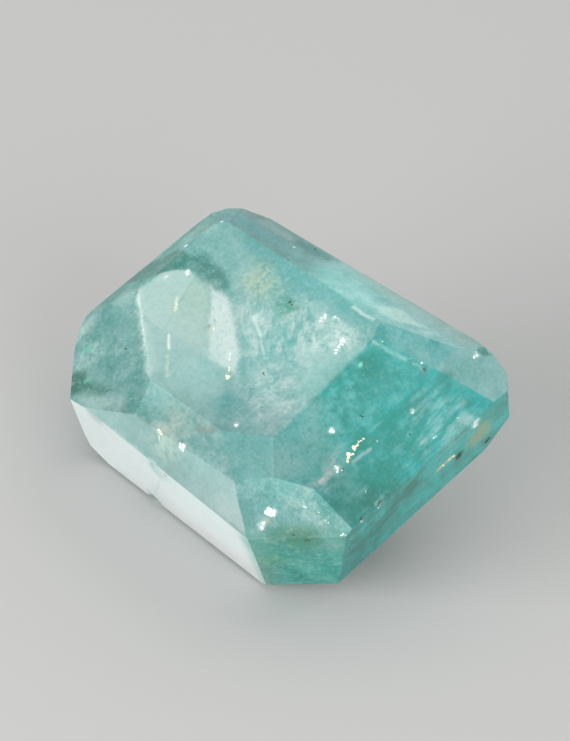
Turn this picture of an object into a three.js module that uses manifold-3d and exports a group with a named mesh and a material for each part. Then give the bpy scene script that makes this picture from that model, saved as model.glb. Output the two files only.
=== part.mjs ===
// A loose emerald, cut in steps as a long octagon by hand and worn at its edges.
// Millimetres, +Z up. The stone is cut table up, as a cutter holds it, and is then laid on one
// of its keel facets, the way a loose stone comes to rest on a table top.
//
// In the cutter's frame the table lies in the plane z = 0 and the origin is near its middle.
// The long sides face front (-Y) and back (+Y), and the short ends face left (-X) and right (+X).
import * as THREE from 'three';
import { mergeVertices } from 'three/addons/utils/BufferGeometryUtils.js';
import Module from 'manifold-3d';

// ---- driving dimensions, in millimetres and degrees ----

const roughLength = 18;
const roughWidth = 16;

// Heights in the cutter's frame at which the facets below are measured.
const tableLevel = 0;
const girdleLevel = -1.3;
const wallFootLevel = -4.7;
const keelLevel = -7;

// Every facet is a flat cut. Azimuth is the way it faces around the stone, counted from +X
// towards +Y. Slope is how far it leans from lying flat: 0 faces up, 90 sideways, 180 down.
// Reach is how far out from the middle it crosses the level that its group is measured at.
const crownFacets = [
  { place: 'front, upper step', azimuth: 271, slope: 17, reach: 2.9 },
  { place: 'front, lower step', azimuth: 272.5, slope: 60, reach: 3.8 },
  { place: 'front left corner', azimuth: 234, slope: 25, reach: 3.55 },
  { place: 'left', azimuth: 178, slope: 36, reach: 5.05 },
  { place: 'back left corner', azimuth: 137, slope: 33, reach: 5.45 },
  { place: 'back', azimuth: 91.5, slope: 36, reach: 3.15 },
  { place: 'back right corner, upper step', azimuth: 24, slope: 15, reach: 3.5 },
  { place: 'back right corner, lower step', azimuth: 9, slope: 35, reach: 4.35 },
  { place: 'right, upper step', azimuth: 2, slope: 15, reach: 2.75 },
  { place: 'right, lower step', azimuth: 2, slope: 36, reach: 4.05 },
  { place: 'front right corner, upper step', azimuth: 298, slope: 11, reach: 3.15 },
  { place: 'front right corner, lower step', azimuth: 309, slope: 50, reach: 4.5 },
];

const wallFacets = [
  { place: 'front', azimuth: 270, slope: 90.5, reach: 4.65 },
  { place: 'front left corner', azimuth: 222.5, slope: 86, reach: 6.6 },
  { place: 'front left corner, second cut', azimuth: 213.5, slope: 92, reach: 6.75 },
  { place: 'left, front part', azimuth: 194, slope: 95, reach: 6.75 },
  { place: 'left', azimuth: 174.5, slope: 100, reach: 6.25 },
  { place: 'back left corner', azimuth: 161.5, slope: 97, reach: 6.6 },
  { place: 'back left corner, second cut', azimuth: 113, slope: 97, reach: 5.65 },
  { place: 'back', azimuth: 94.5, slope: 96, reach: 4.65 },
  { place: 'back, right part', azimuth: 85, slope: 98, reach: 5.4 },
  { place: 'back right corner', azimuth: 42, slope: 98, reach: 7.8 },
  { place: 'right', azimuth: 358.5, slope: 104, reach: 6.4 },
  { place: 'front right corner', azimuth: 309, slope: 92, reach: 6 },
];

const pavilionFacets = [
  { place: 'front', azimuth: 270, slope: 138, reach: 4.65 },
  { place: 'front left corner', azimuth: 225, slope: 141, reach: 6.25 },
  { place: 'left', azimuth: 180, slope: 138, reach: 5.3 },
  { place: 'back left corner', azimuth: 135, slope: 140, reach: 5.9 },
  { place: 'back', azimuth: 91, slope: 138, reach: 4.2 },
  { place: 'back right corner', azimuth: 45, slope: 140, reach: 6.4 },
  { place: 'right', azimuth: 357.5, slope: 140, reach: 5.45 },
  { place: 'front right corner', azimuth: 309, slope: 140, reach: 5.75 },
];

// The keel is an edge along X: its two long facets meet in it and its ends are cut off slanting.
const keelLength = 5.2;
const restingFacet = { place: 'front', azimuth: 270, slope: 155, reach: 0 };
const keelFacets = [
  restingFacet,
  { place: 'back', azimuth: 90, slope: 152, reach: 0 },
  { place: 'left', azimuth: 180, slope: 143, reach: keelLength / 2 },
  { place: 'right', azimuth: 0, slope: 143, reach: keelLength / 2 },
];

// Chips along the edges: each is a small round scoop, given by the middle and radius of the ball
// that takes it out, in the cutter's frame.
const chips = [
  { place: 'front girdle edge', at: [-0.6, -4.9, -1.75], radius: 0.36 },
  { place: 'front girdle edge, beside it', at: [-0.1, -4.88, -1.7], radius: 0.26 },
  { place: 'foot of the front wall', at: [-1.8, -4.85, -4.75], radius: 0.4 },
  { place: 'foot of the front wall, to the right', at: [0.1, -4.85, -5], radius: 0.34 },
  { place: 'back right corner, on the girdle', at: [6.6, 4.5, -2.4], radius: 0.42 },
  { place: 'back right corner, on the crown', at: [5.2, 4.9, -1], radius: 0.3 },
  { place: 'right girdle edge, near the front', at: [6.4, -2.9, -1.5], radius: 0.24 },
  { place: 'right girdle edge, middle', at: [6.4, -1.9, -1.55], radius: 0.22 },
  { place: 'right girdle edge, beside it', at: [6.4, -1.1, -1.6], radius: 0.2 },
  { place: 'left end of the back girdle edge', at: [-5.9, 3.2, -0.45], radius: 0.3 },
  { place: 'back crown edge', at: [-2.5, 4.85, -0.75], radius: 0.4 },
];
const chipRoundness = 1;

// A box this large cuts the whole stone on one side of a facet's plane.
const cutterSize = 60;

// ---- solids from geometries, and back ----

const wasm = await Module();
wasm.setup();

function toSolid(geometry) {
  const bare = geometry.clone();
  bare.deleteAttribute('normal');
  bare.deleteAttribute('uv');
  const merged = mergeVertices(bare);
  const vertProperties = new Float32Array(merged.attributes.position.array);
  const triVerts = new Uint32Array(merged.index.array);
  return new wasm.Manifold(new wasm.Mesh({ numProp: 3, vertProperties, triVerts }));
}

function toGeometry(solid) {
  const mesh = solid.getMesh();
  const geometry = new THREE.BufferGeometry();
  geometry.setAttribute('position', new THREE.BufferAttribute(mesh.vertProperties, 3));
  geometry.setIndex(new THREE.BufferAttribute(mesh.triVerts, 1));
  return geometry;
}

// ---- the rough, the facets and the chips ----

function roughBlock() {
  const height = tableLevel - keelLevel;
  const block = new THREE.BoxGeometry(roughLength, roughWidth, height);
  block.translate(0, 0, keelLevel + height / 2);
  return toSolid(block);
}

// A large box whose inner face is the facet's plane.
function facetCutter({ azimuth, slope, reach }, level) {
  const turn = THREE.MathUtils.degToRad(azimuth);
  const lean = THREE.MathUtils.degToRad(slope);
  const distance = reach * Math.sin(lean) + level * Math.cos(lean);
  const box = new THREE.BoxGeometry(cutterSize, cutterSize, cutterSize);
  box.translate(0, 0, distance + cutterSize / 2);
  box.rotateY(lean);
  box.rotateZ(turn);
  return toSolid(box);
}

function cutFacets(stone, facets, level) {
  return facets.reduce((cut, facet) => cut.subtract(facetCutter(facet, level)), stone);
}

function chipAway(stone, { at, radius }) {
  const ball = new THREE.IcosahedronGeometry(radius, chipRoundness);
  ball.translate(...at);
  return stone.subtract(toSolid(ball));
}

// ---- laying the stone down ----

// Turns the resting facet to face straight down, then puts the origin under the middle.
function layDown(geometry) {
  geometry.rotateX(THREE.MathUtils.degToRad(180 - restingFacet.slope));
  geometry.computeBoundingBox();
  const box = geometry.boundingBox;
  const middle = box.getCenter(new THREE.Vector3());
  geometry.translate(-middle.x, -middle.y, -box.min.z);
  geometry.computeVertexNormals();
  return geometry;
}

function bluishGreenBeryl() {
  return new THREE.MeshStandardMaterial({
    color: 0x7fb9b1,
    roughness: 0.25,
    metalness: 0,
    flatShading: true,
  });
}

function makeEmerald() {
  let stone = roughBlock();
  stone = cutFacets(stone, crownFacets, tableLevel);
  stone = cutFacets(stone, wallFacets, girdleLevel);
  stone = cutFacets(stone, pavilionFacets, wallFootLevel);
  stone = cutFacets(stone, keelFacets, keelLevel);
  stone = chips.reduce(chipAway, stone);
  const emerald = new THREE.Mesh(layDown(toGeometry(stone)), bluishGreenBeryl());
  emerald.name = 'emerald';
  return emerald;
}

const part = new THREE.Group();
part.add(makeEmerald());

export default part;
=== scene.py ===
import random
from math import cos, radians, sin

import bmesh
import bpy
from mathutils import Matrix, Vector
from mathutils.bvhtree import BVHTree


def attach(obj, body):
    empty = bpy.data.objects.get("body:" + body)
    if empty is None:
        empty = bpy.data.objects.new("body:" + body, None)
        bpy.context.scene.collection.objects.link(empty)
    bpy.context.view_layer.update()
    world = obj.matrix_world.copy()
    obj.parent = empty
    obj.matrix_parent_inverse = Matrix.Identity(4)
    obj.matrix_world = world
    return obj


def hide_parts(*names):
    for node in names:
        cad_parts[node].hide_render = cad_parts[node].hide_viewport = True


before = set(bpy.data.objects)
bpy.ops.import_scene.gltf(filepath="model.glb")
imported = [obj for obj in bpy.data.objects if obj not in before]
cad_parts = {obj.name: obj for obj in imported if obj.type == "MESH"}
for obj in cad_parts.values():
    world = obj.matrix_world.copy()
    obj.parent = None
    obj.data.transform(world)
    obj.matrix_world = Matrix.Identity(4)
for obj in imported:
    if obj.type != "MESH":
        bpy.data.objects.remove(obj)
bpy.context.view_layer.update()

# ---- camera ----
# A long lens close to the stone, looking down on it from the front right corner.
MM = 0.001
VIEW_TARGET = Vector((0.97, -0.79, 5.94)) * MM
VIEW_DISTANCE = 104 * MM
VIEW_AZIMUTH = -46.85
VIEW_ELEVATION = 36.23
VIEW_ROLL = 6.73
FOCAL_LENGTH = 159.1

camera_data = bpy.data.cameras.new("camera")
camera_data.lens = FOCAL_LENGTH
camera_data.clip_start = 1 * MM
camera = bpy.data.objects.new("camera", camera_data)
turn = Matrix.Rotation(radians(VIEW_AZIMUTH + 90), 4, "Z")
tip = Matrix.Rotation(radians(90 - VIEW_ELEVATION), 4, "X")
roll = Matrix.Rotation(radians(VIEW_ROLL), 4, "Z")
back_off = Matrix.Translation((0, 0, VIEW_DISTANCE))
camera.matrix_world = Matrix.Translation(VIEW_TARGET) @ turn @ tip @ roll @ back_off
bpy.context.scene.collection.objects.link(camera)
bpy.context.scene.camera = camera
bpy.context.scene.view_settings.view_transform = "Standard"

# ---- floor ----
# Plain pale paper under the stone, matt and without a pattern.
FLOOR_SIZE = 800 * MM
PAPER_COLOUR = (0.362, 0.362, 0.357, 1)
PAPER_ROUGHNESS = 0.9

floor_mesh = bpy.data.meshes.new("floor")
bm = bmesh.new()
bmesh.ops.create_grid(bm, x_segments=1, y_segments=1, size=FLOOR_SIZE / 2)
bm.to_mesh(floor_mesh)
bm.free()
floor = bpy.data.objects.new("floor", floor_mesh)
bpy.context.scene.collection.objects.link(floor)
paper = bpy.data.materials.new("paper")
paper.use_nodes = True
paper_shader = paper.node_tree.nodes["Principled BSDF"]
paper_shader.inputs["Base Color"].default_value = PAPER_COLOUR
paper_shader.inputs["Roughness"].default_value = PAPER_ROUGHNESS
floor_mesh.materials.append(paper)

# ---- light ----
# A pale room, a long low soft box that the front wall of the stone faces, and weaker ones to the
# right and behind.
ROOM_LIGHT = 0.8


def soft_box(name, azimuth, elevation, distance, width, height, watts):
    """A lamp that hangs that way and that far from the stone, and faces it. The polished facets
    mirror the pale room but not the lamps, which would burn them out."""
    data = bpy.data.lights.new(name, "AREA")
    data.shape = "ELLIPSE"
    data.size = width * MM
    data.size_y = height * MM
    data.energy = watts
    lamp = bpy.data.objects.new(name, data)
    swing = Matrix.Rotation(radians(azimuth + 90), 4, "Z")
    lift = Matrix.Rotation(radians(90 - elevation), 4, "X")
    lamp.matrix_world = swing @ lift @ Matrix.Translation((0, 0, distance * MM))
    lamp.visible_glossy = False
    bpy.context.scene.collection.objects.link(lamp)


soft_box("low_front_box", azimuth=-100, elevation=14, distance=240, width=240, height=120, watts=1.2)
soft_box("low_right_box", azimuth=-15, elevation=22, distance=280, width=200, height=200, watts=0.45)
soft_box("high_back_box", azimuth=90, elevation=50, distance=300, width=300, height=300, watts=0.3)

room = bpy.data.worlds.new("room")
room.use_nodes = True
room.node_tree.nodes["Background"].inputs["Color"].default_value = (1, 1, 1, 1)
room.node_tree.nodes["Background"].inputs["Strength"].default_value = ROOM_LIGHT
bpy.context.scene.world = room

# ---- the stone ----
# One crystal of clear beryl full of milk and murk, ground by hand into a long octagon with steps,
# and polished. Its edges are rounded a little by wear. It lies loose on one keel facet, which leans
# its table towards the front.
EDGE_WEAR = 0.035 * MM
LONG_EDGE = 0.5 * MM
SAME_POINT = 0.002 * MM
SAME_PLANE = radians(0.3)
SAME_WAY = cos(radians(1.5))

# A place on or in the stone is easiest to give as a cutter sees it: millimetres from the middle of
# the table, with the table level.
LEAN = radians(25)
TABLE_MIDDLE = Vector((0.065, -1.167, 6.344)) * MM


def colour(red, green, blue):
    """A colour as it looks, 0 to 255, as the shader's linear one."""
    return tuple(((c / 255 + 0.055) / 1.055) ** 2.4 for c in (red, green, blue)) + (1.0,)


# Each facet looks into another part of the stone, so each has its own colour, and its own shares of white
# milk and dark murk in it. The colour is partly the stone's own zoning and partly painted light and shade:
# each facet's colour is set so that the facet comes out as bright as it looks lit from its side, which makes
# lit and shaded copies of the one beryl. It is known by the way it faces as cut: azimuth from +X towards +Y,
# and slope from lying flat.
FACETS = [
    # name, azimuth, slope, colour, milk, murk
    ("table", 0, 0, colour(120, 180, 177), 0.55, 0.5),
    ("front upper step", 271, 17, colour(134, 188, 186), 0.6, 0.7),
    ("front lower step", 272.5, 60, colour(160, 192, 190), 0.3, 0.4),
    ("front left corner", 234, 25, colour(103, 155, 154), 0.4, 1.0),
    ("left step", 178, 36, colour(76, 170, 166), 0.6, 1.3),
    ("back left corner", 137, 33, colour(112, 188, 188), 0.7, 1.3),
    ("back step", 91.5, 36, colour(133, 174, 177), 0.5, 0.8),
    ("back right corner, upper", 24, 15, colour(76, 166, 168), 0.4, 0.5),
    ("back right corner, lower", 9, 35, colour(132, 185, 184), 0.5, 0.6),
    ("right upper step", 2, 15, colour(40, 179, 178), 0.25, 1.3),
    ("right lower step", 2, 36, colour(0, 181, 183), 0.15, 1.1),
    ("front right corner, upper", 298, 11, colour(122, 196, 194), 0.4, 0.6),
    ("front right corner, lower", 309, 50, colour(102, 178, 176), 0.5, 1.0),
    # the front wall's near white is partly its frosted grinding and partly painted light, the bright shine
    # of the low front lamp on it
    ("front wall", 270, 90.5, colour(254, 254, 254), 0.0, 0.12),
    ("right wall", 358.5, 104, colour(0, 214, 208), 0.12, 1.2),
    ("front right wall", 309, 92, colour(34, 188, 172), 0.5, 1.2),
    ("back right wall", 42, 98, colour(150, 192, 190), 0.6, 0.6),
]
HIDDEN_FACET = (colour(100, 175, 165), 0.6, 0.8)


def facing(azimuth, slope):
    """The direction of a facet in the row frame."""
    round_by, down_by = radians(azimuth), radians(slope)
    way = Vector((sin(down_by) * cos(round_by), sin(down_by) * sin(round_by), cos(down_by)))
    return Matrix.Rotation(LEAN, 3, "X") @ way


def facet_look(normal):
    """The colour, milk and murk of the facet that faces that way."""
    for _, azimuth, slope, *facet in FACETS:
        if normal.dot(facing(azimuth, slope)) > SAME_WAY:
            return facet
    return HIDDEN_FACET


stone_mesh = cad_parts["emerald"].data.copy()
stone_mesh.name = "emerald_stone"
stone_mesh.materials.clear()
bm = bmesh.new()
bm.from_mesh(stone_mesh)
bmesh.ops.remove_doubles(bm, verts=bm.verts, dist=SAME_POINT)
bmesh.ops.dissolve_limit(bm, angle_limit=SAME_PLANE, verts=bm.verts, edges=bm.edges)
long_edges = [edge for edge in bm.edges if edge.calc_length() > LONG_EDGE]
worn = bmesh.ops.bevel(
    bm, geom=long_edges, offset=EDGE_WEAR, offset_type="OFFSET", segments=2, profile=0.5,
    affect="EDGES", material=-1, clamp_overlap=True,
)
tint_and_shade_layer = bm.loops.layers.float_color.new("facet_colour_and_shade")
cloud_layer = bm.loops.layers.float_color.new("milk_murk_wear")
worn_faces = set(worn["faces"])


def facet_beside(face):
    """The facet that a face lies in, or the one that a worn face borders."""
    if face in worn_faces:
        for edge in face.edges:
            for other in edge.link_faces:
                if other not in worn_faces:
                    return other
    return face


for face in bm.faces:
    face_tint_and_shade, face_milk, face_murk = facet_look(facet_beside(face).normal)
    face_wear = 1.0 if face in worn_faces else 0.0
    for loop in face.loops:
        loop[tint_and_shade_layer] = face_tint_and_shade
        loop[cloud_layer] = (face_milk, face_murk, face_wear, 1.0)
bm.to_mesh(stone_mesh)
bm.free()
stone = bpy.data.objects.new("emerald_stone", stone_mesh)
bpy.context.scene.collection.objects.link(stone)

# Beryl lets light through and takes a little colour out of it on the way. What clouds it is laid on
# the facets, as one wash of colour over another.
BERYL_IOR = 1.58
CLEARNESS = 0.65
ABSORPTION_COLOUR = (0.32, 0.77, 0.75, 1)
ABSORPTION_DENSITY = 100.0
POLISH_COAT = 0.2
POLISH_COAT_ROUGHNESS = 0.04
POLISH_COAT_IOR = 1.5
RELIEF_HEIGHT = 0.012 * MM

beryl = bpy.data.materials.new("beryl")
beryl.use_nodes = True
shader = beryl.node_tree.nodes["Principled BSDF"]


def add(kind, inputs=(), **settings):
    """One more shader node. Inputs are values or other nodes' outputs, by socket number or name."""
    made = beryl.node_tree.nodes.new("ShaderNode" + kind)
    for name, value in settings.items():
        setattr(made, name, value)
    for key, value in dict(inputs).items():
        if isinstance(value, bpy.types.NodeSocket):
            beryl.node_tree.links.new(value, made.inputs[key])
        else:
            made.inputs[key].default_value = value
    return made.outputs


def blend(mask, under, over):
    """Over laid on under where the mask is 1."""
    return add("Mix", {0: mask, 6: under, 7: over}, data_type="RGBA")[2]


def both(mask, other):
    """Where both masks lie. Either may be a plain number, which thins the other."""
    return add("Math", {0: mask, 1: other}, operation="MULTIPLY")[0]


def ramp(value, low, high):
    """0 below low, 1 above high, and smooth between; low may be the larger one."""
    span = {0: value, 1: low, 2: high, 3: 0.0, 4: 1.0}
    return add("MapRange", span, interpolation_type="SMOOTHSTEP")[0]


object_place = add("TexCoord")["Object"]
as_lying = add("VectorMath", {0: object_place, 1: -TABLE_MIDDLE}, operation="ADD")[0]
as_cut = add("Mapping", {0: as_lying, 2: (-LEAN, 0, 0), 3: (1 / MM,) * 3})[0]
level = add("SeparateXYZ", {0: as_cut})[2]


def noise(place, scale, detail, roughness, distortion=0.0):
    """Soft noise about 0.5, with its scale in waves to the millimetre."""
    values = {0: place, "Scale": scale, "Detail": detail, "Roughness": roughness, "Distortion": distortion}
    return add("TexNoise", values)[0]


# From coarse to fine.
clouds = noise(as_cut, 0.45, 8.0, 0.6, distortion=0.5)
mottle = noise(as_cut, 1.7, 8.0, 0.65)
fine = noise(as_cut, 4.0, 6.0, 0.6)
grain = noise(as_cut, 8.0, 4.0, 0.7)
patchy = ramp(mottle, 0.35, 0.65)
cloudy = ramp(mottle, 0.42, 0.62)
flecked = ramp(fine, 0.2, 0.8)
# Streaks along the right steps, and others along the way the crystal grew.
along_step = add("Mapping", {0: as_cut, 3: (5.0, 1.2, 5.0)})[0]
streaky = noise(along_step, 1.0, 5.0, 0.6)
GROWTH_HEADING = -47
along_growth = {0: as_cut, 2: (0, 0, radians(GROWTH_HEADING)), 3: (1.6, 0.5, 0.5)}
along_crystal = add("Mapping", along_growth, vector_type="TEXTURE")[0]
grown = ramp(noise(along_crystal, 1.3, 8.0, 0.65), 0.4, 0.62)
# A push this way and that, none on the whole.
swirl_colour = add("TexNoise", {0: as_cut, "Scale": 1.3, "Detail": 4.0})[1]
swirl = add("VectorMath", {0: swirl_colour, 1: (0.5, 0.5, 0.5)}, operation="SUBTRACT")[0]


def nudged(amount):
    """The place as cut, pushed about by the swirl, so that an outline drawn on it isn't even."""
    push = add("VectorMath", {0: swirl, "Scale": amount}, operation="SCALE")[0]
    return add("VectorMath", {0: as_cut, 1: push}, operation="ADD")[0]


ragged = nudged(1.0)
steady = nudged(0.25)
shard_colours = add("TexVoronoi", {0: nudged(0.6), "Scale": 1.3})["Color"]
shards = add("SeparateColor", {0: shard_colours})[0]


def blob(middle, radius, softness=0.5):
    """A soft ball about a place in the cutter's frame."""
    away = add("VectorMath", {0: ragged, 1: middle}, operation="DISTANCE")[1]
    return ramp(away, radius * (1 + softness), radius * (1 - softness))


def streak(start, end, width, softness=0.4):
    """A soft line between two places, that wide each way."""
    start, run = Vector(start), Vector(end) - Vector(start)
    from_start = add("VectorMath", {0: steady, 1: start}, operation="SUBTRACT")[0]
    along = add("VectorMath", {0: from_start, 1: run / run.length_squared}, operation="DOT_PRODUCT")[1]
    along = add("Clamp", {0: along})[0]
    nearest = add("VectorMath", {0: run, "Scale": along}, operation="SCALE")[0]
    away = add("VectorMath", {0: from_start, 1: nearest}, operation="DISTANCE")[1]
    return ramp(away, width * (1 + softness), width * (1 - softness))


def panel(corners, softness=0.06, foot=-1.4):
    """The inside of an outline seen from above the table, its corners given clockwise."""
    inside = None
    for start, end in zip(corners, corners[1:] + corners[:1]):
        inward = Vector((end[1] - start[1], start[0] - end[0], 0)).normalized()
        past = add("VectorMath", {0: steady, 1: inward}, operation="DOT_PRODUCT")[1]
        past = add("Math", {0: past, 1: inward.dot(Vector((*start, 0)))}, operation="SUBTRACT")[0]
        inside = past if inside is None else add("Math", {0: inside, 1: past}, operation="MINIMUM")[0]
    return both(ramp(inside, -softness, softness), ramp(level, foot - 0.3, foot))


# the facets' own colours, with painted light and shade in them
facet_tint_and_shade = add("Attribute", attribute_name="facet_colour_and_shade")["Color"]
milk, murk, wear = add("SeparateColor", {0: add("Attribute", attribute_name="milk_murk_wear")["Color"]})
on_table = ramp(level, -0.03, -0.01)
MILK = colour(214, 234, 228)
PALE = colour(222, 230, 228)
WHITE = colour(245, 250, 246)
DEEP = colour(25, 138, 126)
SHADE = colour(70, 140, 128)
GOLD = colour(228, 222, 170)

# Outlines of panels, as seen from above the table.
# The two pale panels on the table are painted reflections of pavilion facets inside the stone.
PALE_LEFT_REFLECTION = [(-5.03, -0.71), (-4.94, 0.17), (-4.43, 0.79), (-3.9, 0.78), (-3.2, -1.3), (-3.93, -1.35)]
PALE_RIGHT_REFLECTION = [(-3.9, 0.78), (-3.16, 0.76), (-1.35, -1.12), (-3.2, -1.3)]
WHITE_STREAK = [(-3.05, 0.8), (-2.35, 0.86), (-0.36, -0.48), (-0.03, -1.06), (-1.13, -1.2)]
DARK_WEDGE_LEFT = [(-6.5, -0.5), (-6.3, 0.6), (-5.4, 1.3), (-4.7, 1.25), (-4.43, 0.85), (-4.91, 0.14),
                   (-5.45, -0.35)]
DARK_WEDGE_RIGHT = [(-4.75, 1.2), (-4.3, 1.7), (-3.3, 1.55), (-2.6, 1.2), (-2.8, 0.85), (-4.43, 0.85)]
DARK_CORNER_LEFT = [(-4.9, -4.6), (-5.5, -3.9), (-4.87, -3.66), (-4.45, -3.9), (-4.3, -4.4)]
DARK_CORNER_RIGHT = [(-4.6, -4.45), (-4.5, -3.9), (-3.3, -3.75), (-3.6, -4.2)]
RIGHT_UPPER = [(2.7, 2.47), (4.77, 2.94), (4.83, -2.48), (2.81, -2.08)]
RIGHT_LOWER = [(4.77, 2.94), (6.34, 3.81), (7.2, 3.8), (7.2, -3.2), (5.98, -2.84), (4.83, -2.48)]
FRONT_LOWER = [(-4.6, -4.6), (-0.98, -3.97), (2.76, -3.83), (3.65, -4.6)]
PALE_LENS = [(1.57, 3.75), (2.07, 4.22), (3.25, 4.12), (2.59, 3.6), (1.93, 3.5)]

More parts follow.
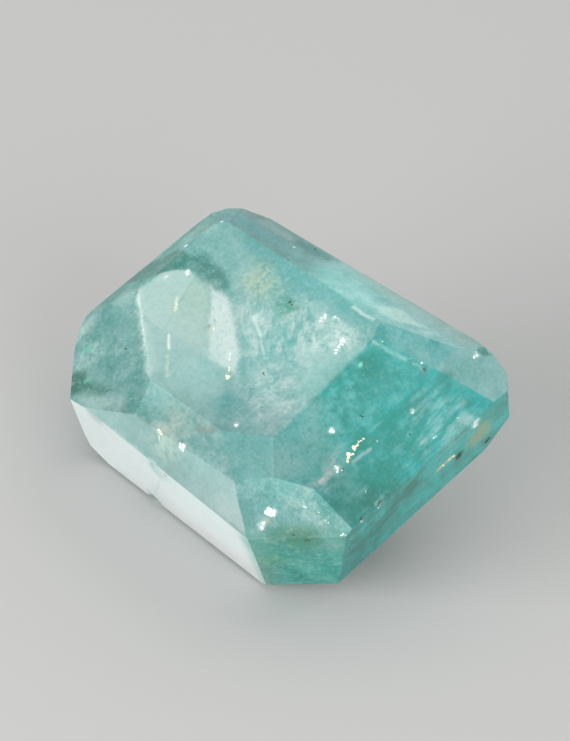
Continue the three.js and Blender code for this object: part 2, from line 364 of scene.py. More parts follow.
# Each wash is where it lies, its colour, and how much of it there is.
washes = [
    # milk and murk all over, by each facet's shares
    (both(ramp(clouds, 0.45, 0.75), milk), MILK, 0.5),
    (both(ramp(clouds, 0.55, 0.3), murk), DEEP, 0.5),
    (both(ramp(mottle, 0.45, 0.75), milk), MILK, 0.45),
    (both(ramp(mottle, 0.55, 0.3), murk), DEEP, 0.55),
    (both(ramp(shards, 0.5, 0.9), milk), MILK, 0.2),
    (both(ramp(shards, 0.5, 0.1), murk), SHADE, 0.2),
    # where the table, the front steps and the right step meet, the stone is one even teal
    (blob((2.5, -2.6, -0.05), 0.75, 0.9), colour(108, 178, 174), 0.6),
    (both(streak((-2.0, -2.95, 0), (1.6, -2.85, 0), 0.45, 0.8), patchy), colour(140, 192, 186), 0.35),
    # the right end
    (both(both(streak((3.0, 1.6, -0.1), (3.7, -0.1, -0.25), 0.75, 0.8), ramp(mottle, 0.75, 0.4)),
          panel(RIGHT_UPPER, 0.02)), colour(10, 128, 116), 0.8),
    (both(both(blob((5.7, -1.5, -1.2), 1.0, 0.8), ramp(mottle, 0.75, 0.4)), panel(RIGHT_LOWER, 0.02)),
     colour(0, 148, 136), 0.8),
    (blob((3.7, -2.1, -0.25), 1.0, 0.8), colour(106, 190, 186), 0.6),
    (blob((3.2, -2.35, -0.1), 0.6, 0.9), colour(112, 188, 184), 0.8),
    (blob((3.8, -2.5, -0.25), 0.5, 0.8), colour(150, 196, 190), 0.55),
    (blob((3.1, -2.95, -0.15), 0.5, 0.8), colour(110, 178, 174), 0.5),
    (streak((3.0, -0.5, -0.05), (3.7, -1.3, -0.25), 0.3, 0.9), colour(150, 192, 188), 0.4),
    (both(blob((4.85, -1.5, -0.58), 0.3, 0.9), patchy), colour(180, 208, 204), 0.7),
    (both(blob((5.1, -1.85, -0.75), 0.35, 0.9), patchy), colour(165, 205, 200), 0.7),
    (both(blob((5.9, -0.6, -1.2), 1.1, 0.8), ramp(mottle, 0.65, 0.4)), colour(0, 140, 126), 0.7),
    (both(blob((5.2, 0.6, -0.9), 0.9, 0.8), ramp(mottle, 0.6, 0.4)), colour(0, 142, 128), 0.7),
    (both(blob((6.1, -1.9, -2.2), 1.2, 0.8), ramp(mottle, 0.65, 0.4)), colour(0, 140, 122), 0.8),
    (both(blob((3.9, -1.6, -0.35), 0.8, 0.8), patchy), colour(135, 185, 180), 0.5),
    (both(blob((6.05, 2.0, -1.4), 1.0, 0.8), ramp(streaky, 0.42, 0.66)), MILK, 0.45),
    (both(blob((6.15, 2.75, -1.8), 0.35, 0.8), patchy), WHITE, 0.6),
    (both(panel(RIGHT_LOWER, 0.02), ramp(streaky, 0.55, 0.75)), MILK, 0.3),
    (both(panel(RIGHT_LOWER, 0.02), ramp(streaky, 0.55, 0.35)), colour(0, 148, 134), 0.6),
    (blob((5.13, 3.2, -0.85), 0.22, 0.8), colour(40, 130, 120), 0.7),
    (blob((4.56, 2.9, -0.51), 0.16, 0.8), colour(50, 130, 124), 0.7),
    (both(streak((2.75, 2.48, -0.02), (4.5, 2.88, -0.52), 0.06, 0.9), ramp(fine, 0.35, 0.6)), MILK, 0.4),
    (blob((3.02, 1.72, -0.08), 0.1, 0.8), colour(150, 245, 215), 0.9),
    (both(streak((4.35, -0.9, -0.42), (4.7, -1.55, -0.5), 0.16, 0.9), patchy), colour(175, 196, 190), 0.6),
    (streak((4.9, -1.7, -0.58), (4.84, -2.1, -0.57), 0.07, 0.9), colour(215, 222, 218), 0.8),
    (both(streak((4.86, -2.0, -0.57), (4.81, -2.5, -0.57), 0.14, 0.9), flecked), colour(200, 214, 208), 0.8),
    # a painted glint: a lilac spark of split light
    (blob((4.7, -1.62, -0.5), 0.075, 0.5), colour(165, 150, 240), 0.9),
    (streak((5.08, -0.9, -0.73), (5.13, -0.2, -0.78), 0.045, 0.9), MILK, 0.6),
    (streak((6.2, -1.3, -1.6), (6.2, -0.9, -1.6), 0.05, 0.9), MILK, 0.5),
    # the right wall: an ochre patch near its far end, and a golden streak
    (blob((6.0, 3.25, -3.1), 0.5, 0.6), colour(200, 190, 138), 0.85),
    (both(blob((5.75, 3.6, -4.0), 0.4, 0.6), patchy), colour(95, 110, 72), 0.8),
    (streak((6.02, 1.35, -2.97), (6.03, 2.0, -3.0), 0.1, 0.8), colour(212, 214, 165), 0.8),
    (blob((6.0, 2.3, -3.3), 0.2, 0.6), colour(30, 70, 66), 0.8),
    # the front right corner
    (both(blob((5.42, -2.86, -1.45), 0.22, 0.8), flecked), MILK, 0.8),
    (blob((5.25, -2.8, -1.15), 0.28, 0.8), colour(112, 176, 168), 0.6),
    (blob((5.9, -2.65, -1.45), 0.3, 0.8), colour(104, 170, 162), 0.7),
    (both(blob((4.8, -2.9, -1.0), 0.4, 0.8), flecked), MILK, 0.6),
    (blob((4.0, -3.9, -1.25), 0.14, 0.8), GOLD, 0.7),
    (streak((3.8, -4.4, -1.95), (5.8, -2.9, -2.0), 0.45, 0.8), colour(112, 178, 164), 0.7),
    (streak((3.75, -4.57, -2.3), (3.72, -4.55, -4.4), 0.38, 0.9), colour(132, 188, 174), 0.6),
    (blob((5.65, -3.1, -2.3), 0.4, 0.9), colour(134, 182, 174), 0.6),
    (both(blob((6.3, -1.0, -1.7), 0.6, 0.8), ramp(mottle, 0.7, 0.4)), colour(0, 118, 104), 0.7),
    (both(streak((6.15, 0.3, -2.4), (5.95, -1.2, -3.1), 0.5, 0.8), ramp(mottle, 0.75, 0.35)),
     colour(0, 116, 102), 0.8),
    (both(blob((5.6, -1.75, -1.1), 0.5, 0.8), patchy), colour(100, 182, 174), 0.6),
    (both(blob((5.05, -1.2, -0.72), 0.3, 0.8), patchy), colour(120, 190, 184), 0.5),
    (both(streak((4.45, -3.9, -1.75), (5.2, -3.4, -1.85), 0.36, 0.8), ramp(fine, 0.9, 0.4)),
     colour(35, 140, 118), 0.7),
    (both(blob((5.17, -3.45, -1.95), 0.35, 0.8), flecked), colour(50, 120, 60), 0.8),
    (both(blob((4.85, -3.7, -1.75), 0.4, 0.8), flecked), colour(60, 130, 70), 0.7),
    (both(blob((4.6, -4.0, -2.3), 0.8, 0.8), patchy), colour(0, 130, 116), 0.5),
    (both(streak((4.5, -4.0, -2.7), (5.4, -3.3, -2.7), 0.4, 0.8), ramp(fine, 0.8, 0.4)),
     colour(10, 142, 126), 0.45),
    (both(blob((5.0, -3.6, -2.15), 0.3, 0.8), flecked), colour(92, 158, 104), 0.8),
    (both(blob((4.15, -4.3, -3.0), 0.3, 0.8), flecked), colour(130, 192, 132), 0.8),
    (both(blob((4.3, -4.15, -1.85), 0.25, 0.8), flecked), colour(150, 190, 168), 0.7),
    (streak((2.9, -2.9, -0.15), (3.45, -3.0, -0.22), 0.045, 0.9), colour(70, 140, 132), 0.22),
    (streak((3.45, -3.0, -0.22), (3.86, -3.0, -0.3), 0.045, 0.9), colour(70, 140, 132), 0.22),
    # the front left corner and the front steps
    (both(panel(DARK_CORNER_LEFT, 0.15), ramp(fine, 0.95, 0.45)), colour(0, 96, 80), 0.95),
    (both(panel(DARK_CORNER_RIGHT, 0.18), ramp(fine, 0.95, 0.45)), colour(10, 105, 88), 0.8),
    (blob((-4.44, -3.84, -1.02), 0.13, 0.8), colour(70, 190, 150), 0.8),
    (blob((-5.44, -3.02, -0.99), 0.16, 0.8), colour(90, 215, 190), 0.7),
    (both(streak((-6.2, -2.7, -1.1), (-6.15, -1.8, -1.0), 0.22, 0.7), patchy), colour(195, 212, 206), 0.8),
    (blob((-3.9, -2.45, -0.35), 0.13, 0.8), colour(95, 120, 128), 0.7),
    (blob((-3.94, -3.18, -0.63), 0.15, 0.8), colour(80, 125, 130), 0.7),
    (both(streak((-5.6, -2.0, -0.9), (-4.2, -1.6, -0.3), 0.3, 0.8), patchy), colour(60, 140, 132), 0.5),
    (both(blob((-5.2, -3.1, -0.95), 0.6, 0.8), flecked), MILK, 0.4),
    (streak((-2.2, -3.75, -0.45), (-1.2, -3.9, -0.32), 0.26, 0.9), colour(55, 146, 138), 0.7),
    (both(blob((-1.9, -3.8, -0.4), 0.6, 0.8), patchy), SHADE, 0.4),
    (blob((-3.4, -4.5, -1.1), 0.5), colour(160, 188, 184), 0.5),
    (streak((-4.3, -4.45, -1.2), (-2.6, -3.95, -0.6), 0.22, 0.9), colour(180, 204, 200), 0.45),
    (both(panel(FRONT_LOWER, 0.03, foot=-1.9), blob((-1.3, -4.5, -1.1), 1.5, 0.9)),
     colour(138, 170, 168), 0.6),
    (both(panel(FRONT_LOWER, 0.03, foot=-1.9), blob((3.2, -4.4, -1.3), 1.0, 0.9)),
     colour(196, 212, 212), 0.6),
    (both(blob((-0.3, -3.4, -0.2), 0.8, 0.8), patchy), colour(190, 208, 184), 0.35),
    (both(blob((-0.3, -4.1, -0.55), 0.6, 0.9), ramp(fine, 0.3, 0.6)), colour(216, 222, 204), 0.5),
    (blob((0.8, -3.05, -0.05), 0.2, 0.8), colour(140, 140, 120), 0.5),
    # the front wall's chips and the crack between them
    (blob((-0.6, -4.7, -1.85), 0.42, 0.3), colour(208, 228, 226), 0.85),
    (blob((-1.8, -4.75, -4.6), 0.42, 0.3), colour(215, 232, 230), 0.85),
    (streak((-0.5, -4.65, -2.1), (-1.65, -4.62, -4.3), 0.05, 0.9), colour(206, 222, 222), 0.5),
    # the back step and the left step
    (both(streak((0.8, 3.6, -0.25), (3.5, 4.2, -0.6), 0.3, 0.8), patchy), MILK, 0.4),
    (panel(PALE_LENS, 0.12), colour(222, 226, 216), 0.6),
    (streak((-4.3, 3.6, -0.4), (-2.2, 3.7, -0.45), 0.28, 0.8), colour(120, 190, 194), 0.5),
    (streak((-2.7, 4.2, -0.8), (-1.5, 4.3, -0.8), 0.24, 0.8), colour(48, 122, 122), 0.75),
    (streak((-4.3, 4.0, -0.7), (-3.0, 4.15, -0.75), 0.2, 0.7), colour(180, 202, 200), 0.6),
    (streak((-5.0, 3.4, -0.4), (-3.2, 3.55, -0.35), 0.4, 0.8), colour(92, 182, 190), 0.7),
    (both(blob((-5.0, 3.15, -0.25), 0.4, 0.8), patchy), colour(72, 160, 168), 0.4),
    (both(blob((-5.4, 2.3, -0.25), 0.5, 0.8), patchy), colour(168, 204, 196), 0.6),
    (streak((-0.7, 4.6, -1.1), (4.5, 4.7, -1.1), 0.3, 0.7), colour(178, 194, 190), 0.6),
    (both(streak((-3.6, 3.3, -0.15), (-0.6, 3.5, -0.3), 0.35, 0.8), patchy), colour(92, 180, 178), 0.6),
    (blob((-3.1, 3.75, -0.5), 0.2, 0.8), colour(60, 120, 125), 0.25),
    (blob((-5.49, -1.03, -0.3), 0.4, 0.8), colour(175, 200, 194), 0.7),
    (both(panel(DARK_WEDGE_LEFT, 0.1), ramp(mottle, 0.95, 0.45)), colour(0, 116, 103), 0.9),
    (both(panel(DARK_WEDGE_RIGHT, 0.2), ramp(mottle, 0.9, 0.4)), colour(28, 118, 108), 0.8),
    # the worn edge between the table and the front left corner
    (both(streak((-5.03, -0.73, 0), (-2.3, -2.72, 0), 0.2, 0.8), ramp(fine, 0.25, 0.6)), MILK, 0.65),
    (both(streak((-4.9, -0.83, 0), (-3.2, -2.06, 0), 0.08, 0.8), ramp(fine, 0.3, 0.5)), WHITE, 0.75),
    (both(streak((-3.2, -2.06, 0), (-2.3, -2.72, 0), 0.05, 0.8), flecked), WHITE, 0.6),
]
# the table alone, from its left end to its right
table_washes = [
    # painted reflections: pavilion facets seen mirrored inside the table as two pale panels
    (panel(PALE_LEFT_REFLECTION), colour(215, 232, 226), 0.66),
    (panel(PALE_RIGHT_REFLECTION, 0.22), colour(205, 222, 206), 0.66),
    (streak((-4.0, -0.2, 0), (-3.5, -1.2, 0), 0.12, 0.9), colour(190, 212, 200), 0.5),
    (panel(WHITE_STREAK, 0.1), colour(225, 238, 235), 0.8),
    (both(panel(WHITE_STREAK, 0.25), flecked), WHITE, 0.9),
    (both(blob((-2.1, 2.15, 0), 0.6, 0.8), ramp(fine, 0.35, 0.65)), colour(212, 212, 160), 0.55),
    (both(blob((-1.95, 2.3, 0), 0.35, 0.8), ramp(grain, 0.5, 0.7)), WHITE, 0.6),
    (both(blob((-1.6, 1.8, 0), 0.6, 0.8), patchy), colour(190, 205, 170), 0.5),
    (blob((-0.5, 1.95, 0), 0.3, 0.8), DEEP, 0.7),
    (both(blob((-0.4, 0.9, 0), 1.2, 0.8), both(grown, flecked)), PALE, 0.9),
    (both(blob((0.9, 1.5, 0), 1.3, 0.8), both(grown, flecked)), PALE, 1.0),
    (both(streak((-1.6, 1.1, 0), (-0.7, -0.1, 0), 0.45, 0.9), grown), PALE, 0.6),
    (both(blob((0.9, 1.2, 0), 1.6, 0.8), ramp(shards, 0.6, 0.66)), PALE, 0.3),
    (both(blob((1.8, 1.9, 0), 0.7, 0.8), flecked), WHITE, 0.9),
    (blob((1.9, 0.1, 0), 1.0, 0.8), PALE, 0.25),
    (both(blob((1.8, -0.8, 0), 1.1, 0.8), both(cloudy, flecked)), PALE, 0.85),
    (streak((2.3, 1.4, 0), (2.4, 0.0, 0), 0.45, 0.9), colour(132, 186, 180), 0.6),
    (blob((2.3, -1.4, 0), 0.5, 0.9), PALE, 0.3),
    (blob((-0.75, 1.85, 0), 0.45, 0.9), colour(105, 170, 162), 0.6),
    (both(blob((0.6, 0.2, 0), 0.8, 0.9), ramp(mottle, 0.6, 0.4)), colour(105, 185, 186), 0.5),
    (blob((-0.7, -1.9, 0), 0.9, 0.9), colour(182, 226, 222), 0.6),
    (blob((1.6, -1.6, 0), 0.7, 0.9), colour(96, 190, 190), 0.2),
    (blob((-2.9, -1.9, 0), 1.5, 0.8), colour(190, 218, 214), 0.7),
    (blob((0.7, -2.0, 0), 0.5, 0.8), colour(70, 172, 172), 0.6),
    (streak((-3.2, 3.1, 0), (1.6, 2.9, 0), 0.5), colour(90, 170, 170), 0.6),
    (streak((1.3, 3.08, 0), (2.15, 3.14, 0), 0.06, 0.9), WHITE, 0.6),
    (both(blob((-0.42, 1.72, 0), 0.32, 0.9), ramp(fine, 0.8, 0.4)), colour(50, 150, 124), 0.8),
    # growth tubes that come out at the table
    (streak((-2.85, -1.35, 0), (-2.44, -1.7, 0), 0.05, 0.9), WHITE, 0.85),
    (both(streak((-2.25, -1.95, 0), (-1.7, -2.5, 0), 0.06, 0.9), flecked), colour(225, 235, 215), 0.9),
    (streak((-3.74, -0.16, 0), (-3.4, -0.53, 0), 0.06, 0.9), colour(244, 244, 215), 0.9),
    (streak((-1.1, 0.83, 0), (-0.4, 0.46, 0), 0.05, 0.9), WHITE, 0.6),
    (streak((-0.4, 0.46, 0), (0.25, 0.0, 0), 0.04, 0.9), WHITE, 0.45),
    (both(streak((-1.05, 0.9, 0), (-0.8, 0.8, 0), 0.14, 0.9), flecked), WHITE, 0.8),
    # a brown dot beside the white streak
    (blob((-2.03, -0.12, 0), 0.09, 0.6), colour(150, 120, 95), 0.7),
]
washes += [(both(mask, on_table), over, amount) for mask, over, amount in table_washes]
# fine speckle over all of it
washes += [
    (both(ramp(fine, 0.5, 0.75), milk), MILK, 0.35),
    (both(ramp(fine, 0.5, 0.25), murk), DEEP, 0.3),
    (both(ramp(grain, 0.5, 0.75), milk), MILK, 0.45),
    (both(ramp(grain, 0.5, 0.25), murk), SHADE, 0.45),
]
look = facet_tint_and_shade
for mask, over, amount in washes:
    look = blend(both(mask, amount), look, over)
look = blend(both(both(wear, ramp(grain, 0.3, 0.7)), 0.5), look, MILK)
beryl.node_tree.links.new(look, shader.inputs["Base Color"])

# The polish is uneven, duller along the worn edges, and lightly scratched.
BEST_POLISH = 0.3
WORST_POLISH = 0.38
DULLED_BY_WEAR = 0.12
SCRATCH_HEADING = 47
polish = add("MapRange", {0: mottle, 1: 0.3, 2: 0.7, 3: BEST_POLISH, 4: WORST_POLISH})[0]
polish = add("Math", {0: wear, 1: DULLED_BY_WEAR, 2: polish}, operation="MULTIPLY_ADD")[0]
beryl.node_tree.links.new(polish, shader.inputs["Roughness"])
along_scratches = add("Mapping", {0: as_cut, 2: (0, 0, radians(SCRATCH_HEADING)), 3: (1.0, 16.0, 16.0)})[0]
scratches = noise(along_scratches, 1.5, 5.0, 0.7)
relief = add("Math", {0: ramp(scratches, 0.62, 0.7), 1: -0.5, 2: fine}, operation="MULTIPLY_ADD")[0]
bump = add("Bump", {"Strength": 0.3, "Distance": RELIEF_HEIGHT, "Height": relief})[0]
beryl.node_tree.links.new(bump, shader.inputs["Normal"])
shader.inputs["IOR"].default_value = BERYL_IOR
shader.inputs["Transmission Weight"].default_value = CLEARNESS
shader.inputs["Coat Weight"].default_value = POLISH_COAT
shader.inputs["Coat Roughness"].default_value = POLISH_COAT_ROUGHNESS
shader.inputs["Coat IOR"].default_value = POLISH_COAT_IOR
absorb = add("VolumeAbsorption", {"Color": ABSORPTION_COLOUR, "Density": ABSORPTION_DENSITY})[0]
beryl.node_tree.links.new(absorb, beryl.node_tree.nodes["Material Output"].inputs["Volume"])
stone_mesh.materials.append(beryl)
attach(stone, "root")
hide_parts("emerald")

# ---- white flecks ----
# Clusters of white calcite grains that the crystal grew round. They are fixed in the beryl just under the
# facets, where the cuts nearly went through them, and show as small bright marks. Their pale colour is
# partly painted glint: it stands in for the light that the cracks about them throw back.
WHITE_FLECKS = [
    # place as cut, length and width in mm, heading in degrees from +X towards +Y
    ((-4.71, 0.18, 0), 0.2, 0.12, 60),
    ((-4.22, 0.79, 0), 0.22, 0.14, -50),
    ((-3.53, -0.36, 0), 0.3, 0.07, -47),
    ((-5.17, 1.58, -0.13), 0.14, 0.1, 40),
    ((-4.92, 2.89, -0.07), 0.26, 0.1, 80),
    ((-0.57, -0.74, 0), 0.4, 0.08, -47),
    ((0.42, 0.44, 0), 0.14, 0.08, -47),
    ((-2.7, -1.49, 0), 0.22, 0.05, -47),
    ((-2.02, -2.21, 0), 0.14, 0.06, -47),
    ((0.47, -3.98, -0.36), 0.24, 0.16, -40),
    ((1.52, -2.44, 0), 0.14, 0.12, 0),
    ((1.0, -2.5, 0), 0.08, 0.06, 0),
    ((0.79, 2.17, 0), 0.3, 0.16, 80),
    ((1.13, 2.43, 0), 0.22, 0.12, 0),
    ((1.79, 2.28, 0), 0.1, 0.08, 0),
    ((1.97, 1.92, 0), 0.26, 0.2, -60),
    ((2.06, 1.56, 0), 0.3, 0.14, -80),
    ((2.98, 2.71, -0.1), 0.14, 0.08, 80),
    ((4.28, 3.07, -0.46), 0.22, 0.1, -47),
    ((5.15, 4.54, -1.04), 0.24, 0.14, -60),
    ((5.15, 1.63, -0.84), 0.16, 0.12, 60),
    ((6.05, 2.61, -1.52), 0.1, 0.08, 0),
    ((6.33, 2.63, -1.92), 0.1, 0.08, 0),
    ((6.3, 3.08, -2.07), 0.32, 0.26, 0),
    ((3.93, -0.6, -0.31), 0.24, 0.16, 80),
    ((4.92, -1.44, -0.6), 0.16, 0.14, 0),
    ((5.06, -1.34, -0.7), 0.1, 0.08, 0),
    ((6.01, 1.62, -1.47), 0.2, 0.08, 80),
    ((4.07, -3.68, -1.1), 0.28, 0.24, 0),
    ((3.98, -4.1, -1.42), 0.22, 0.18, -60),
    ((5.57, -2.74, -1.35), 0.12, 0.08, 0),
    ((5.8, -2.46, -1.26), 0.1, 0.08, 0),
    ((4.87, -2.92, -0.99), 0.16, 0.1, 60),
    ((5.23, -2.74, -1.1), 0.12, 0.08, 0),
    ((6.27, -0.59, -1.75), 0.26, 0.08, 85),
    ((6.28, -1.15, -1.7), 0.3, 0.08, 85),
    ((6.28, -1.96, -1.62), 0.3, 0.1, 85),
    ((6.11, -2.68, -1.71), 0.24, 0.1, 60),
    ((5.1, -0.55, -0.75), 0.6, 0.035, 86),
    ((6.2, -1.1, -1.6), 0.4, 0.04, 86),
    ((5.9, 1.1, -1.3), 0.4, 0.04, 80),
    ((5.75, 1.75, -1.2), 0.35, 0.04, 75),
    ((-2.48, 3.83, -0.53), 0.2, 0.1, 40),
    ((-4.66, -1.0, 0), 0.4, 0.05, -36),
    ((-3.9, -1.56, 0), 0.5, 0.06, -36),
]

AREA_OF_A_GRAIN = 0.004  # square millimetres of a cluster for each of its grains
FEWEST_GRAINS = 2
AS_CUT = Matrix.Translation(TABLE_MIDDLE) @ Matrix.Rotation(LEAN, 4, "X") @ Matrix.Scale(MM, 4)

skin_bm = bmesh.new()
skin_bm.from_mesh(stone_mesh)
skin = BVHTree.FromBMesh(skin_bm)
skin_bm.free()


def at(x, y, z):
    """A place in the cutter's frame, in millimetres, as a place in the row frame."""
    return AS_CUT @ Vector((x, y, z))


def set_cluster(bm, place, length, width, heading, dice):
    """A few grains side by side, just under the facet nearest to their place."""
    spot, normal, _, _ = skin.find_nearest(at(*place))
    run = facing(heading, 90)
    run = (run - normal * run.dot(normal)).normalized()
    side = normal.cross(run)
    for _ in range(max(FEWEST_GRAINS, round(length * width / AREA_OF_A_GRAIN))):
        size = width * dice.uniform(0.5, 1.0)
        aside = run * dice.uniform(-0.5, 0.5) * length + side * dice.uniform(-0.4, 0.4) * width
        middle = spot + (aside - normal * size * dice.uniform(0.1, 0.45)) * MM
        lump = bmesh.ops.create_icosphere(
            bm, subdivisions=1, radius=size / 2 * MM, matrix=Matrix.Translation(middle),
        )
        for vert in lump["verts"]:
            vert.co = middle + (vert.co - middle) * dice.uniform(0.7, 1.2)


def grains(name, rows, seed):
    """All the grains of one kind, as one piece."""
    dice = random.Random(seed)
    bm = bmesh.new()
    for place, length, width, heading in rows:
        set_cluster(bm, place, length, width, heading, dice)
    mesh = bpy.data.meshes.new(name)
    bm.to_mesh(mesh)
    bm.free()
    piece = bpy.data.objects.new(name, mesh)
    bpy.context.scene.collection.objects.link(piece)
    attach(piece, "root")
    return piece


# Two tones mixed in fine speckle, which every mineral in the beryl has.
speckle_group = bpy.data.node_groups.new("speckle", "ShaderNodeTree")
sockets = speckle_group.interface
sockets.new_socket(name="Place", in_out="INPUT", socket_type="NodeSocketVector")
sockets.new_socket(name="Speckle Scale", in_out="INPUT", socket_type="NodeSocketFloat")
sockets.new_socket(name="Dark Tone", in_out="INPUT", socket_type="NodeSocketColor")
sockets.new_socket(name="Light Tone", in_out="INPUT", socket_type="NodeSocketColor")
sockets.new_socket(name="Tone", in_out="OUTPUT", socket_type="NodeSocketColor")
given = speckle_group.nodes.new("NodeGroupInput").outputs
given_back = speckle_group.nodes.new("NodeGroupOutput").inputs
speckle_noise = speckle_group.nodes.new("ShaderNodeTexNoise")
two_tones = speckle_group.nodes.new("ShaderNodeMix")
two_tones.data_type = "RGBA"
speckle_group.links.new(given["Place"], speckle_noise.inputs["Vector"])
speckle_group.links.new(given["Speckle Scale"], speckle_noise.inputs["Scale"])
speckle_group.links.new(speckle_noise.outputs["Fac"], two_tones.inputs[0])
speckle_group.links.new(given["Dark Tone"], two_tones.inputs[6])
speckle_group.links.new(given["Light Tone"], two_tones.inputs[7])
speckle_group.links.new(two_tones.outputs[2], given_back["Tone"])


def mineral(name, dark, light, scale, roughness):
    """A grainy mineral of two mixed tones, its speckle's scale in waves to the metre."""
    made = bpy.data.materials.new(name)
    made.use_nodes = True
    tree = made.node_tree
    coordinates = tree.nodes.new("ShaderNodeTexCoord")
    speckle = tree.nodes.new("ShaderNodeGroup")
    speckle.node_tree = speckle_group
    speckle.inputs["Speckle Scale"].default_value = scale
    speckle.inputs["Dark Tone"].default_value = dark
    speckle.inputs["Light Tone"].default_value = light
    principled = tree.nodes["Principled BSDF"]
    principled.inputs["Roughness"].default_value = roughness
    tree.links.new(coordinates.outputs["Object"], speckle.inputs["Place"])
    tree.links.new(speckle.outputs["Tone"], principled.inputs["Base Color"])
    return made


white_flecks = grains("white_flecks", WHITE_FLECKS, seed=3)
# pale tones that are partly the grains' own and partly painted glint
calcite_and_painted_glint = mineral("calcite_and_painted_glint", colour(165, 190, 188), colour(205, 220, 218), 6000, 0.35)
white_flecks.data.materials.append(calcite_and_painted_glint)

# The beryl about each wide cluster is painted white: partly milk, and partly a painted glow about the
# cluster's glint.
LEAST_WITH_HALO = 0.12
milk_and_glint_halos = None
for place, length, width, _ in WHITE_FLECKS:
    if width >= LEAST_WITH_HALO:
        from_cluster = add("VectorMath", {0: steady, 1: place}, operation="DISTANCE")[1]
        milk_and_glint_halo = ramp(from_cluster, width * 1.2, width * 0.3)
        milk_and_glint_halos = milk_and_glint_halo if milk_and_glint_halos is None else add("Math", {0: milk_and_glint_halos, 1: milk_and_glint_halo}, operation="MAXIMUM")[0]
look = blend(both(both(milk_and_glint_halos, ramp(grain, 0.25, 0.6)), 0.6), look, WHITE)
beryl.node_tree.links.new(look, shader.inputs["Base Color"])

# ---- golden flecks ----
# Grains of the same calcite, stained by iron that crept in along cracks. They lie in a short row across the
# right steps and here and there elsewhere, fixed in the beryl as the white ones are. Their cream colour is
# partly painted glint, standing in for golden glints off those cracks.
GOLDEN_FLECKS = [
    # place as cut, length and width in mm, heading in degrees from +X towards +Y
    ((-0.1, -1.26, 0), 0.24, 0.16, -30),
    ((-0.25, -1.05, 0), 0.14, 0.1, -60),
    ((4.83, -0.27, -0.56), 0.3, 0.1, 85),
    ((4.85, -0.5, -0.57), 0.2, 0.16, 70),
    ((4.89, -0.84, -0.6), 0.26, 0.18, 85),
    ((4.96, -0.98, -0.63), 0.16, 0.14, 0),
    ((5.1, 0.11, -0.77), 0.14, 0.08, 85),
    ((6.03, 1.5, -2.96), 0.4, 0.12, 85),
    ((6.04, 1.95, -2.98), 0.3, 0.16, 85),
    ((-0.53, -4.02, -0.36), 0.22, 0.1, -47),
    ((-1.84, -0.26, 0), 0.16, 0.12, 0),
]
golden_flecks = grains("golden_flecks", GOLDEN_FLECKS, seed=5)
# cream tones that are partly the stain and partly painted glint
stained_calcite_and_painted_glint = mineral("iron_stained_calcite_and_painted_glint", colour(196, 188, 152), colour(226, 222, 196), 9000, 0.3)
golden_flecks.data.materials.append(stained_calcite_and_painted_glint)

# ---- dark specks ----
# Small flakes of mica from the rock that the crystal grew in, brown to black. They are fixed in the
# beryl, singly or in twos and threes.
DARK_SPECKS = [
    # place as cut, length and width in mm, heading in degrees from +X towards +Y
    ((-3.9, -2.45, -0.35), 0.14, 0.1, 0),
    ((-3.94, -3.21, -0.64), 0.16, 0.08, -40),
    ((-5.4, 0.64, -0.26), 0.2, 0.08, 60),
    ((0.82, -0.53, 0), 0.14, 0.1, 0),
    ((1.7, -1.46, 0), 0.07, 0.06, 0),
    ((4.27, -0.51, -0.4), 0.14, 0.08, 40),
    ((4.26, 0.39, -0.4), 0.12, 0.1, 0),
    ((5.51, 1.06, -1.09), 0.1, 0.08, 0),
    ((4.54, 2.93, -0.51), 0.16, 0.12, 0),
    ((-1.9, 3.17, -0.05), 0.16, 0.08, 0),
    ((-2.09, 4.35, -0.9), 0.2, 0.12, 0),
    ((5.76, 3.6, -4.1), 0.3, 0.16, 60),
    ((5.96, 2.26, -3.29), 0.24, 0.24, 0),
    ((-2.05, -0.02, 0), 0.14, 0.05, 20),
    ((3.94, -1.63, -0.3), 0.12, 0.08, 0),
    ((1.54, -3.69, -0.25), 0.1, 0.08, 0),
    ((5.24, -3.43, -1.9), 0.2, 0.14, 0),
    ((4.88, -3.63, -1.66), 0.18, 0.12, 0),
    ((4.49, -3.09, -0.86), 0.14, 0.08, 0),
    ((-0.5, 1.96, 0), 0.16, 0.12, 0),
]
dark_specks = grains("dark_specks", DARK_SPECKS, seed=8)
mica = mineral("mica", colour(30, 60, 52), colour(80, 105, 85), 9000, 0.4)
dark_specks.data.materials.append(mica)

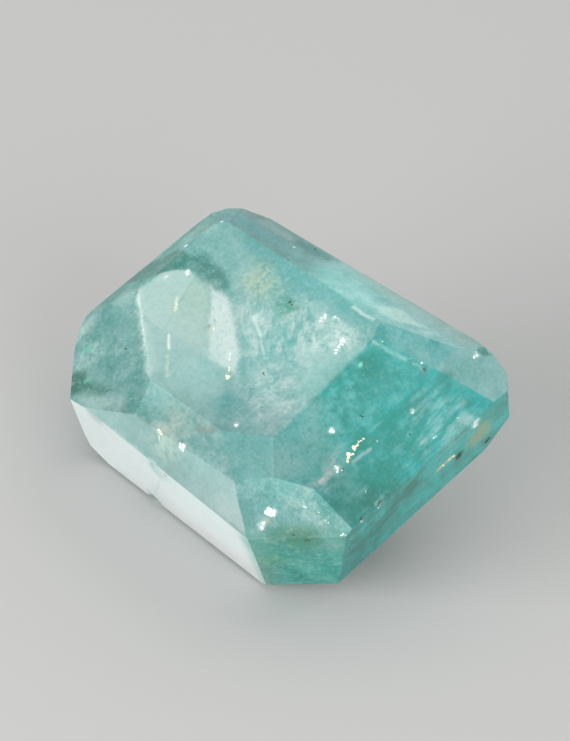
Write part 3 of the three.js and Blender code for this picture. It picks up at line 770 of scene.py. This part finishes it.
# ---- growth tubes ----
# Hollow hairs that the crystal left in itself as it grew, all along its own axis, which lies across
# the table. They scatter the light, so they show as thin white lines just under the facets.
CRYSTAL_AXIS = Vector((0.68, -0.73, 0))
GROWTH_TUBES = [
    # middle as cut, length and thickness in mm
    ((-3.65, -0.3, -0.03), 0.8, 0.04),
    ((-2.7, -1.5, -0.03), 0.55, 0.045),
    ((-2.1, -2.15, -0.04), 0.6, 0.035),
    ((-3.4, -0.75, -0.05), 0.5, 0.025),
    ((-0.4, 0.4, -0.05), 1.7, 0.03),
    ((0.1, 0.45, -0.06), 0.9, 0.025),
    ((-0.9, 1.1, -0.05), 0.5, 0.04),
    ((-0.5, -0.85, -0.03), 0.5, 0.05),
    ((-4.4, 2.3, -0.05), 0.6, 0.025),
    ((1.2, 0.6, -0.06), 0.7, 0.025),
    ((1.6, -0.6, -0.06), 0.9, 0.02),
    ((-1.6, -2.6, -0.06), 1.1, 0.02),
    ((3.4, -0.2, -0.25), 0.8, 0.02),
    ((3.7, 1.3, -0.35), 0.6, 0.02),
    ((5.4, 0.4, -1.1), 0.5, 0.03),
    ((5.7, -1.1, -1.25), 0.5, 0.03),
    ((-4.3, -2.7, -0.7), 0.8, 0.02),
    ((-0.6, -4.0, -0.45), 0.6, 0.03),
]

tube_run = Matrix.Rotation(LEAN, 3, "X") @ CRYSTAL_AXIS
tube_turn = tube_run.to_track_quat("Z", "Y").to_matrix().to_4x4()
tubes_bm = bmesh.new()
for middle, length, thickness in GROWTH_TUBES:
    bmesh.ops.create_cone(
        tubes_bm, cap_ends=True, segments=6, radius1=thickness / 2 * MM, radius2=thickness / 4 * MM,
        depth=length * MM, matrix=Matrix.Translation(at(*middle)) @ tube_turn,
    )
tubes_mesh = bpy.data.meshes.new("growth_tubes")
tubes_bm.to_mesh(tubes_mesh)
tubes_bm.free()
growth_tubes = bpy.data.objects.new("growth_tubes", tubes_mesh)
bpy.context.scene.collection.objects.link(growth_tubes)
tube_white = mineral("tube_white", colour(150, 185, 182), colour(225, 238, 235), 3000, 0.5)
tubes_mesh.materials.append(tube_white)
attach(growth_tubes, "root")
